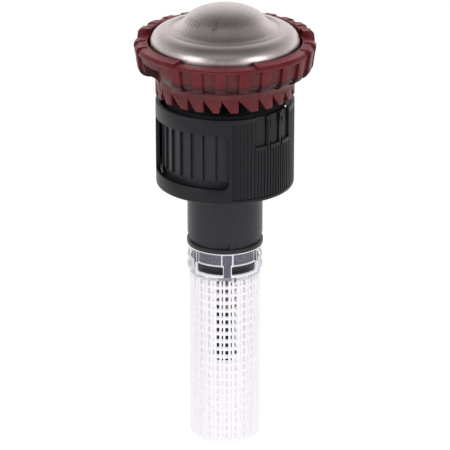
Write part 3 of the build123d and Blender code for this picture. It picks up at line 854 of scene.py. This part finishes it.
def windowCutter(plan, turn):
    # rounded window, cut radially through the wall
    radius = plan["radius"]
    perMm = degrees(1) / radius
    corner = plan["windowRound"]
    left, right = plan["windowStart"] + corner * perMm, plan["windowEnd"] - corner * perMm
    low, high = plan["windowBottom"] + corner, plan["windowTop"] - corner
    rim = []
    for middle, level, first in ((right, high, 0), (left, high, 90), (left, low, 180), (right, low, 270)):
        for step in range(7):
            angle = radians(first + 15 * step)
            rim.append((middle + corner * cos(angle) * perMm, level + corner * sin(angle)))
    dense = []
    for index, (azimuth, height) in enumerate(rim):
        dense.append((azimuth, height))
        ahead = rim[(index + 1) % len(rim)]
        if abs(ahead[0] - azimuth) > 0.5 * (right - left):
            dense += [(azimuth + (ahead[0] - azimuth) * part / 60, height) for part in range(1, 60)]
    sections = [[spot(reach, azimuth + turn, height) for azimuth, height in dense]
                for reach in (radius - plan["wall"] - 0.3, radius + 0.5)]
    points = [point for section in sections for point in section]
    count = len(dense)
    faces = [(step, (step + 1) % count, count + (step + 1) % count, count + step) for step in range(count)]
    # each end is a strip between the upper and the lower run
    half = count // 2
    for base in (0, count):
        for step in range(half - 1):
            faces.append((base + step, base + step + 1, base + count - 2 - step, base + count - 1 - step))
    return cleaned(newPiece("windowCutter", points, faces))


def cutBy(piece, cutters):
    for cutter in cutters:
        cut = piece.modifiers.new("cut", "BOOLEAN")
        cut.operation = "DIFFERENCE"
        cut.solver = "EXACT"
        cut.object = cutter
    frozen(piece)
    for cutter in cutters:
        bpy.data.objects.remove(cutter)
    return piece


def makeRidges(plan):
    # ridges between the grooves, shorter under the pockets
    pitch = plan["knurlSweep"] / plan["knurlCount"]
    half = (pitch - degrees(plan["knurlWidth"] / plan["radius"])) / 2
    depth = plan["knurlDepth"]
    floor = plan["radius"] - depth
    profile = [(-half - 0.25, -0.25), (-half, 0.0), (-half + 0.1, depth * 0.6), (-half + 0.4, depth),
               (half - 0.4, depth), (half - 0.1, depth * 0.6), (half, 0.0), (half + 0.25, -0.25)]
    low = plan["bottom"] + plan["knurlMargin"]
    middles = [plan["knurlStart"] + (index + 0.5) * pitch for index in range(plan["knurlCount"])]
    made = []
    for short, run in groupby(middles, lambda middle: inPocket(plan, middle, plan["knurlSpare"])):
        run = list(run)
        high = (plan["pocketBottom"] if short else plan["top"] - plan["lipRise"]) - plan["knurlMargin"]
        for turn in (0.0, 180.0):
            sections = [[spot(floor + rise, angle, height) for angle, rise in profile]
                        for height in (low - 0.06, low + 0.02, high - 0.02, high + 0.06)]
            made.append(repeated(lofted("ridge", sections), len(run), run[0] + turn, pitch, "collar_plastic"))
    return made


def isWindowSide(plan, middle):
    azimuth = degrees(atan2(middle.x, -middle.y))
    spare = 0.6
    low, high = plan["windowStart"] - spare, plan["windowEnd"] + spare
    return any(low < (azimuth - turn + 180.0) % 360.0 - 180.0 < high for turn in (0.0, 180.0))


def makeCollar(plan):
    body = wound("collarBody", collarAzimuths(plan), lambda azimuth: collarOutlineAt(plan, azimuth))
    body = cutBy(body, [windowCutter(plan, 0.0), windowCutter(plan, 180.0)])
    # soft rims round the windows only
    work = bmesh.new()
    work.from_mesh(body.data)
    weights = work.edges.layers.float.new("bevel_weight_edge")
    for edge in work.edges:
        middle = (edge.verts[0].co + edge.verts[1].co) / 2 / mm
        rough = edge.calc_face_angle(0.0) > radians(50)
        inHeight = plan["windowBottom"] - 0.05 < middle.z < plan["windowTop"] + 0.05
        if rough and inHeight and isWindowSide(plan, middle):
            edge[weights] = 1.0
    work.to_mesh(body.data)
    work.free()
    bevel = body.modifiers.new("rim", "BEVEL")
    bevel.width = plan["windowBevel"] * mm
    bevel.segments = 2
    bevel.limit_method = "WEIGHT"
    frozen(body)
    whole = joined("collar", [body] + makeRidges(plan))
    return finished(whole, "ring", "collar_plastic", ["radius_ring"], 30.0)


# ---- base drum

basePlan = {"radius": widest("nozzle_base"), "bottom": lowest("nozzle_base"), "top": highest("nozzle_base"),
            "threadRadius": 7.9, "threadTop": 10.8, "neckRadius": widest("inlet_tube"),
            "flutes": 30, "fluteStart": -8.4, "fluteDepth": 0.35, "fluteRun": 0.12,
            "fluteBottom": 3.4, "ledgeDrop": 1.35, "footSetBack": 0.12}


def makeBase(plan):
    step = 360 / plan["flutes"]
    thread, neck = plan["threadRadius"], plan["neckRadius"]
    bottom, top, threadTop = plan["bottom"], plan["top"], plan["threadTop"]
    core = plan["radius"] - plan["fluteDepth"] - 0.25
    ledge = plan["fluteBottom"] - plan["ledgeDrop"]
    foot = plan["radius"] - plan["footSetBack"]
    outline = softened([(thread + 0.5, bottom), (foot, bottom), (foot, ledge), (core, ledge), (core, top),
                        (neck, top), (neck, threadTop), (thread, threadTop), (thread, bottom + 0.5)], 0.08)
    drum = wound("drum", roundSteps(3.0), lambda azimuth: outline)
    # one flute: a thin plate that rises slowly and drops away at a sharp step
    rise = plan["fluteDepth"]
    sections = []
    floor = plan["radius"] - rise
    for height in (plan["fluteBottom"], plan["fluteBottom"] + 0.1, top - 0.1, top - 0.02):
        section = [spot(core - 0.2, 0.0, height), spot(core - 0.2, step, height)]
        for part in (1.0, 0.975, 0.75, 0.5, 0.25, plan["fluteRun"]):
            along = (part - plan["fluteRun"]) / (1 - plan["fluteRun"])
            crest = floor + rise * along - (0.02 if part == 1.0 else 0.0)
            section.append(spot(crest, part * step, height))
        section.append(spot(floor - 0.03, 0.02 * step, height))
        sections.append(section)
    flute = lofted("flute", sections)
    flutes = repeated(flute, plan["flutes"], plan["fluteStart"], step, "body_plastic")
    whole = joined("base_drum", [drum, flutes])
    return finished(whole, "housing", "body_plastic", ["nozzle_base"], 28.0)


# ---- inlet plate

platePlan = {
    "neckRadius": widest("inlet_tube"), "top": -9.0, "lipTop": -10.1, "lipBottom": -10.9, "lipRadius": 6.36,
    "grooveRadius": 5.85, "pilot": 5.05, "pilotRise": 1.0, "pilotWall": 0.5, "spigot": 5.1,
    "spigotWall": 0.8, "spigotBottom": lowest("inlet_plate"), "orifice": 3.0, "seatTop": -9.6,
    "keyAzimuth": 11.5, "keyWidth": 0.9, "hooks": 6, "hookStart": 33.6, "hookSweep": 46.0,
    "hookRadius": 5.7, "hookTop": -13.35, "hookHeight": 1.0,
}


def barAt(inner, outer, azimuth, width, low, high, bevel):
    # radial bar with soft edges
    sections = []
    for height in (low, high):
        half = [degrees(width / 2 / radius) for radius in (inner, outer)]
        sections.append([spot(inner, azimuth - half[0], height), spot(outer, azimuth - half[1], height),
                         spot(outer, azimuth, height), spot(outer, azimuth + half[1], height),
                         spot(inner, azimuth + half[0], height)])
    return bevelled(lofted("bar", sections), bevel)


def makePlate(plan):
    spigot, pilot, groove, orifice = plan["spigot"], plan["pilot"], plan["grooveRadius"], plan["orifice"]
    top, lipTop, lipBottom, lip = plan["top"], plan["lipTop"], plan["lipBottom"], plan["lipRadius"]
    bore, end, seat = spigot - plan["spigotWall"], plan["spigotBottom"], plan["seatTop"]
    rim, inner = top + plan["pilotRise"], pilot - plan["pilotWall"]
    outline = softened([
        (orifice, lipBottom), (bore, lipBottom), (bore, end), (spigot, end), (spigot, lipBottom),
        (lip, lipBottom), (lip, lipTop), (groove, lipTop), (groove, top), (pilot, top), (pilot, rim),
        (inner, rim), (inner, seat), (orifice, seat)], 0.14, 4)
    body = wound("plateBody", roundSteps(2.0), lambda azimuth: outline)
    key = barAt(groove - 0.4, plan["neckRadius"] - 0.05, plan["keyAzimuth"], plan["keyWidth"],
                lipTop - 0.02, top + 0.02, 0.08)
    root, hookTop, reach = spigot - 0.3, plan["hookTop"], plan["hookRadius"]
    tip = hookTop - plan["hookHeight"]
    profile = [(root, tip), (reach - 0.3, tip), (reach, hookTop - 0.35), (reach, hookTop), (root, hookTop)]
    hook = bevelled(swept("hook", profile, 0.0, plan["hookSweep"]), 0.08)
    hooks = repeated(hook, plan["hooks"], plan["hookStart"], 360 / plan["hooks"], "neck_plastic")
    whole = joined("inlet_lip", [body, key, hooks])
    return finished(whole, "housing", "neck_plastic", ["inlet_plate"], 30.0)


# ---- filter screen

screenPlan = {
    "radius": 5.95, "bore": 5.0, "top": highest("filter_screen"), "bottom": lowest("filter_screen"),
    "collarRadius": widest("filter_screen"), "collarBottom": -14.75, "meshTop": -15.75, "seatBore": 5.82,
    "panelDepth": 0.1, "panelRise": 0.6, "floor": 0.9, "footRound": 0.8, "footHeight": 1.5, "pairs": 24,
    "wideAt": 3.1, "wideHalf": 2.8, "narrowHalf": 1.45, "rows": 20, "ringHeight": 0.42, "firstRing": 1.5,
    "ribDepth": 0.42,
    **screenWindows,
}


def screenTree():
    # upright ribs outside and rings inside, which leave the mesh's openings between them
    lengths = ("Radius", "Bore", "Bottom", "Top", "Rib Width", "Rib Depth", "First Rib", "Second Rib",
               "Ring Height", "First Ring")
    graph, given = newTree("screenMesh", {**{label: "Float" for label in lengths}, "Pairs": "Int",
                                          "Rows": "Int"})
    radius = given.other("Radius")
    bore = given.other("Bore")
    bottom = given.other("Bottom")
    top = given.other("Top")
    depth = given.other("Rib Depth")
    length = top - bottom
    index = graph.add("GeometryNodeInputIndex")

    def vector(x, y, z):
        return graph.add("ShaderNodeCombineXYZ", None, {"X": x, "Y": y, "Z": z})

    # a rib stands at the front, then goes round twice, once for each side of the wide openings
    rib = graph.add("GeometryNodeMeshCube", None, {
        "Size": vector(given.other("Rib Width"), depth, length), "Vertices X": 2, "Vertices Y": 2,
        "Vertices Z": 2})
    rib = graph.add("GeometryNodeTransform", None, {
        "Geometry": rib, "Translation": vector(0.0, depth / 2 - radius, (top + bottom) / 2)})
    around = []
    for name in ("First Rib", "Second Rib"):
        turn = (given.other(name) + index * 360.0 / given.other("Pairs")) * radians(1)
        spots = graph.add("GeometryNodePoints", None, {"Count": given.other("Pairs")})
        around.append(graph.add("GeometryNodeInstanceOnPoints", None, {
            "Points": spots, "Instance": rib, "Rotation": vector(0.0, 0.0, turn)}))
    # a ring is a short tube, and the rings are stacked at equal steps
    reach = radius - depth * 0.55
    middle = (reach + bore) / 2
    circle = graph.add("GeometryNodeCurvePrimitiveCircle", None, {"Resolution": 96, "Radius": middle})
    profile = graph.add("GeometryNodeCurvePrimitiveQuadrilateral", None, {
        "Width": reach - bore, "Height": given.other("Ring Height")})
    ring = graph.add("GeometryNodeCurveToMesh", None, {"Curve": circle, "Profile Curve": profile})
    step = (length - given.other("First Ring")) / given.other("Rows")
    levels = graph.add("GeometryNodePoints", None, {
        "Count": given.other("Rows"), "Position": vector(0.0, 0.0, bottom + (index + 1.0) * step)})
    rings = graph.add("GeometryNodeInstanceOnPoints", None, {"Points": levels, "Instance": ring})
    together = graph.add("GeometryNodeJoinGeometry", None, {"Geometry": around + [rings]})
    return closeTree(graph, together, given.other("Finish"))


def makeScreenCollar(plan):
    collar = plan["collarRadius"]
    middles = [plan["windowStart"] + index * 360 / plan["windows"] for index in range(plan["windows"])]
    edges = [(middle + side * plan["windowSweep"] / 2 + 180.0) % 360.0 - 180.0
             for middle in middles for side in (-1, 1)]
    azimuths = roundStepsWith(edges, 2.0, 0.8, 0.25)
    low = plan["meshTop"]
    sill, lintel = plan["windowBottom"], plan["windowTop"]
    top, seat, inner, foot = plan["top"], plan["seatBore"], plan["bore"] + 0.2, plan["collarBottom"]
    outline = softened([
        (seat, top), (collar, top), (collar, lintel + 0.05), (collar, sill - 0.05),
        (collar - 0.04, foot - 0.2), (plan["radius"] + 0.2, low), (inner, low), (inner, low + 0.3),
        (seat, foot)], 0.12)
    body = wound("screenCollar", azimuths, lambda azimuth: outline)
    # windows, and a shallow panel above each
    inside, outside = seat - 0.5, collar + 0.5
    window = [(inside, sill), (outside, sill), (outside, lintel), (inside, lintel)]
    floor, low, high = collar - plan["panelDepth"], lintel - plan["panelRise"], top + 0.3
    panel = [(floor, low), (outside, low), (outside, high), (floor, high)]
    cutters = []
    for middle in middles:
        opening = swept("screenWindow", window, middle, plan["windowSweep"])
        cutters.append(bevelled(opening, 0.18, 3, 60.0))
        cutters.append(swept("screenPanel", panel, middle, plan["panelSweep"]))
    body = cutBy(body, cutters)
    return bevelled(body, 0.09, 2, 48.0)


def makeScreenFoot(plan):
    low = plan["bottom"]
    wall, floor = low + plan["footHeight"], low + plan["floor"]
    outline = softened([
        (0.0, low), (plan["radius"] - plan["footRound"], low), (plan["radius"], low + plan["footRound"]),
        (plan["radius"], wall), (plan["bore"], wall), (plan["bore"], floor), (0.0, floor)], 0.12)
    outline = [(max(0.0, radius), height) for radius, height in outline]
    return wound("screenFoot", roundSteps(3.0), lambda azimuth: outline)


def makeScreen(plan):
    seed = newPiece("mesh", [(0, 0, 0)], [])
    first = plan["wideAt"] + plan["wideHalf"]
    pitch = 360 / plan["pairs"]
    second = plan["wideAt"] + pitch / 2 + plan["narrowHalf"]
    wide = pitch / 2 - plan["wideHalf"] - plan["narrowHalf"]
    mesh = applied(seed, screenTree(), {
        "Radius": plan["radius"] * mm, "Bore": plan["bore"] * mm, "Bottom": (plan["bottom"] + 1.2) * mm,
        "Top": (plan["meshTop"] + 0.1) * mm, "Pairs": plan["pairs"],
        "Rib Width": radians(wide) * plan["radius"] * mm, "Rib Depth": plan["ribDepth"] * mm,
        "First Rib": first + wide / 2, "Second Rib": second + wide / 2, "Rows": plan["rows"],
        "Ring Height": plan["ringHeight"] * mm, "First Ring": plan["firstRing"] * mm,
        "Finish": finishes["screen_plastic"]})
    whole = joined("screen", [mesh, makeScreenCollar(plan), makeScreenFoot(plan)])
    return finished(whole, "housing", "screen_plastic", ["filter_screen"], 30.0)


# ---- pieces

makeCap(capPlan)
makeDeflector(deflectorPlan, toothPlan, vanePlan)
makeCollar(collarPlan)
makeBase(basePlan)
makePlate(platePlan)
makeScreen(screenPlan)


def dressNodes():
    # CAD pieces that show as they are take the procedural finish of their slot
    slots = {part["node"]: part["material_slot"] for part in frame["record"]["subparts"]}
    for name, node in frame["nodes"].items():
        node.data.materials.clear()
        node.data.materials.append(finishes[slots[name]])


dressNodes()
print("CAD pieces dressed", len(frame["nodes"]))


# ---- stage, light and camera

stagePlan = {"floorSize": 4.0, "grey": 0.9, "lift": 0.5, "ambient": 0.62, "room": 0.16,
             "backdrop": 1.45, "sides": 0.36, "aim": 0.01}


def makeStage(plan):
    low = lowest("filter_screen")
    half = plan["floorSize"] / 2 / mm
    corners = [(-half, -half, low), (half, -half, low), (half, half, low), (-half, half, low)]
    floor = newPiece("floor", corners, [(0, 1, 2, 3)])
    material, graph, place = newMaterial("floorPaper")
    light = graph.add("ShaderNodeLightPath")
    seen = light.maths("MAXIMUM", light, light.other("Is Glossy Ray"))
    seen = seen.maths("MAXIMUM", seen, light.other("Is Transmission Ray"))
    grain = graph.noise(place, 60.0)
    paper = graph.mixed(grain * 0.1, (plan["grey"],) * 3 + (1.0,), (plan["grey"] - 0.04,) * 3 + (1.0,))
    diffuse = graph.add("ShaderNodeBsdfDiffuse", None, {"Color": paper})
    glow = graph.add("ShaderNodeEmission", None, {"Strength": seen * plan["lift"]})
    both = graph.add("ShaderNodeAddShader", None, {0: diffuse, 1: glow})
    graph.add("ShaderNodeOutputMaterial", None, {"Surface": both})
    floor.data.materials.append(material)


def makeWorld(plan):
    world = bpy.data.worlds.new("studio")
    world.use_nodes = True
    world.node_tree.nodes.clear()
    bpy.context.scene.world = world
    graph = Graph(world.node_tree)
    light = graph.add("ShaderNodeLightPath")
    direction = graph.add("ShaderNodeTexCoord")
    parts = graph.add("ShaderNodeSeparateXYZ", None, {"Vector": direction})
    # the paper backdrop is bright up to a low height behind the object; the room above is dimmer
    backdrop = (parts.other("Y") - 0.7 * parts.other("Z")).above(0.35, 0.55)
    sides = parts.maths("ABSOLUTE", parts).above(0.62, 0.25)
    mirrored = plan["room"] + plan["backdrop"] * backdrop + plan["sides"] * sides
    glossy = light.maths("MAXIMUM", light.other("Is Glossy Ray"), light.other("Is Transmission Ray"))
    strength = plan["ambient"] * (1.0 - glossy) + mirrored * glossy
    strength = strength * (1.0 - light) + light
    sky = graph.add("ShaderNodeBackground", None, {"Strength": strength})
    graph.add("ShaderNodeOutputWorld", None, {"Surface": sky})


lamps = {
    "leftBox": {"azimuth": -50.0, "rise": 13.0, "far": 0.6, "size": 0.22, "power": 0.85},
    "rightBox": {"azimuth": 48.0, "rise": 13.0, "far": 0.6, "size": 0.22, "power": 0.95},
    "frontBox": {"azimuth": -6.0, "rise": 50.0, "far": 0.9, "size": 0.6, "power": 0.35},
}


def makeLamps(plan, aimHeight):
    aim = Vector((0.0, 0.0, aimHeight))
    for name, values in plan.items():
        lamp = bpy.data.lights.new(name, "AREA")
        lamp.energy = values["power"]
        lamp.size = values["size"]
        holder = bpy.data.objects.new(name, lamp)
        side = spot(cos(radians(values["rise"])), values["azimuth"], sin(radians(values["rise"])))
        holder.location = aim + side * values["far"]
        holder.rotation_euler = (-side).to_track_quat("-Z", "Y").to_euler()
        bpy.context.scene.collection.objects.link(holder)


cameraPlan = {"back": 0.415, "height": 0.1562, "dip": 21.6, "focal": 214.2, "sensor": 36.0,
              "near": 0.01, "far": 20.0}


def makeCamera(plan):
    camera = bpy.data.cameras.new("camera")
    camera.lens = plan["focal"]
    camera.sensor_width = plan["sensor"]
    camera.clip_start = plan["near"]
    camera.clip_end = plan["far"]
    holder = bpy.data.objects.new("camera", camera)
    holder.location = (0.0, -plan["back"], plan["height"])
    holder.rotation_euler = (radians(90 - plan["dip"]), 0.0, 0.0)
    bpy.context.scene.collection.objects.link(holder)
    bpy.context.scene.camera = holder


makeStage(stagePlan)
makeWorld(stagePlan)
makeLamps(lamps, stagePlan["aim"])
makeCamera(cameraPlan)
bpy.context.scene.view_settings.view_transform = "Standard"
print("stage, light and camera set")
